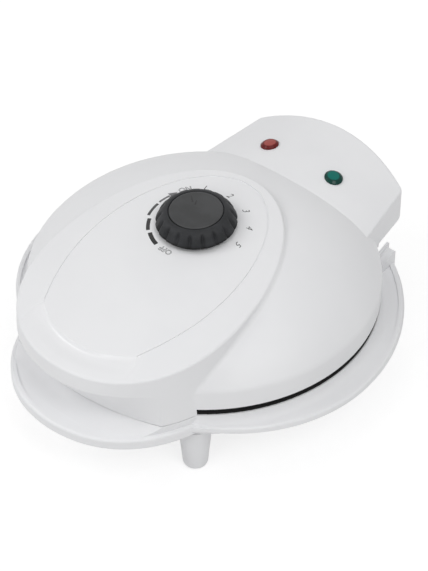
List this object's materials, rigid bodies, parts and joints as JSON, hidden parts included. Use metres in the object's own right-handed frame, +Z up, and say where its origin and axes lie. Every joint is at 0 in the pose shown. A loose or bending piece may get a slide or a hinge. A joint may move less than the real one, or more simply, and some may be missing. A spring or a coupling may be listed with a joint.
{
  "type": "waffle maker",
  "caption": "Round hinged waffle maker with heart-shaped pockets, raised egg-shaped lid panel with finger grip, temperature knob, front tray and tall tapered feet.",
  "frame": {"origin": "on the bench under the middle of the outline, which is also the centre of the round plates", "axes": "+X right seen from the grip, +Y towards the hinge, +Z up"},
  "size_m": [0.2436, 0.2786, 0.1226],
  "materials": {
    "white_plastic": "white moulded housing, satin to gloss",
    "pad_rubber": "light grey soft foot pad",
    "non_stick": "black non-stick coated casting",
    "element_steel": "heat-tinted steel sheath",
    "sheet_aluminium": "plain pressed sheet",
    "bright_steel": "plated steel",
    "terminal_plastic": "cream insulating plastic",
    "bush_rubber": "white soft bush",
    "red_lens": "clear red lens",
    "green_lens": "clear green lens",
    "lamp_glass": "clear lamp glass",
    "knob_plastic": "dark grey fluted knob",
    "cap_plastic": "grey cap disc"
  },
  "bodies": {
    "base": {"base_housing": "white_plastic", "foot_pads": "pad_rubber", "lower_plate": "non_stick", "lower_element": "element_steel", "lower_reflector": "sheet_aluminium", "lower_plate_screws": "bright_steel", "thermal_fuse": "sheet_aluminium", "terminal_block": "terminal_plastic", "inlet_bush": "bush_rubber", "hinge_pins": "bright_steel"},
    "lid": {"lid_housing": "white_plastic", "upper_plate": "non_stick", "upper_element": "element_steel", "upper_reflector": "sheet_aluminium", "upper_plate_screws": "bright_steel", "thermostat": "terminal_plastic", "thermostat_bracket": "bright_steel", "thermostat_screws": "bright_steel", "red_lens": "red_lens", "green_lens": "green_lens", "red_lamp": "lamp_glass", "green_lamp": "lamp_glass", "lamp_sleeves": "terminal_plastic"},
    "knob": {"knob": "knob_plastic", "knob_cap": "cap_plastic", "thermostat_shaft": "bright_steel"}
  },
  "joints": [
    {"name": "lid_hinge", "type": "hinge", "parent": "base", "child": "lid", "pos_m": [0, 0.114, 0.066], "axis": [-1, 0, 0], "range_deg": [0, 95]},
    {"name": "knob_turn", "type": "hinge", "parent": "lid", "child": "knob", "pos_m": [0, -0.007, 0.1103], "axis": [0, -0.0523, 0.9986], "range_deg": [-145, 125]}
  ]
}
